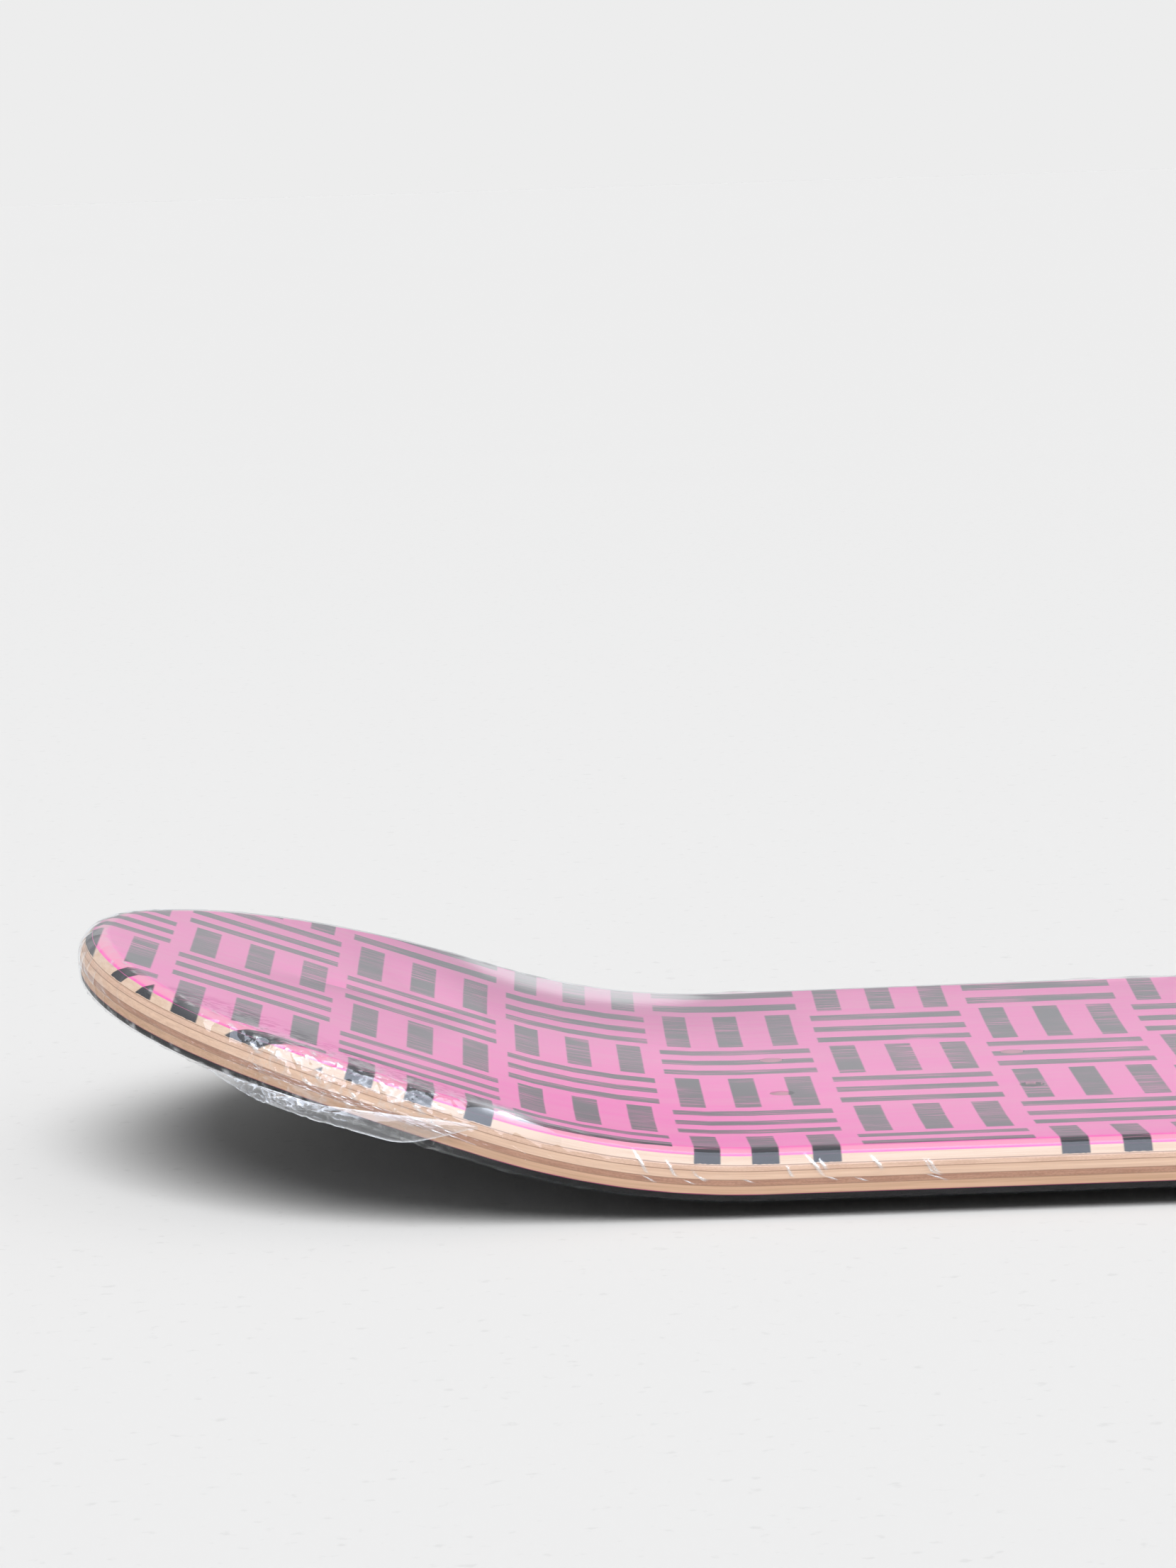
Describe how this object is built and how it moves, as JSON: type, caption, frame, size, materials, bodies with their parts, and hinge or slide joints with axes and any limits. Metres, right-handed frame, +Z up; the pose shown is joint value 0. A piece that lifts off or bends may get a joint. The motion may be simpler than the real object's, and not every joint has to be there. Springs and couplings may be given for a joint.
{
  "type": "skateboard deck",
  "caption": "Pressed maple skateboard deck with kicked nose and tail, rounded rails and truck bolt holes, sealed in clear shrink film.",
  "frame": {"origin": "under the middle of the deck's plan, on the surface that it lies on", "axes": "+X along the deck towards the nose, +Y across it, +Z up, with the deck lying on its belly"},
  "size_m": [0.7922, 0.207, 0.056],
  "materials": {
    "pink_veneer": "satin",
    "natural_veneer": "satin",
    "brown_veneer": "satin",
    "black_veneer": "satin",
    "clear_film": "gloss"
  },
  "bodies": {
    "root": {"top_face_veneer": "pink_veneer", "upper_core_veneer": "natural_veneer", "upper_crossband": "brown_veneer", "centre_core_veneer": "natural_veneer", "lower_crossband": "brown_veneer", "lower_core_veneer": "natural_veneer", "bottom_face_veneer": "black_veneer", "upper_film": "clear_film", "lower_film": "clear_film", "tail_film_ear": "clear_film"}
  },
  "joints": []
}
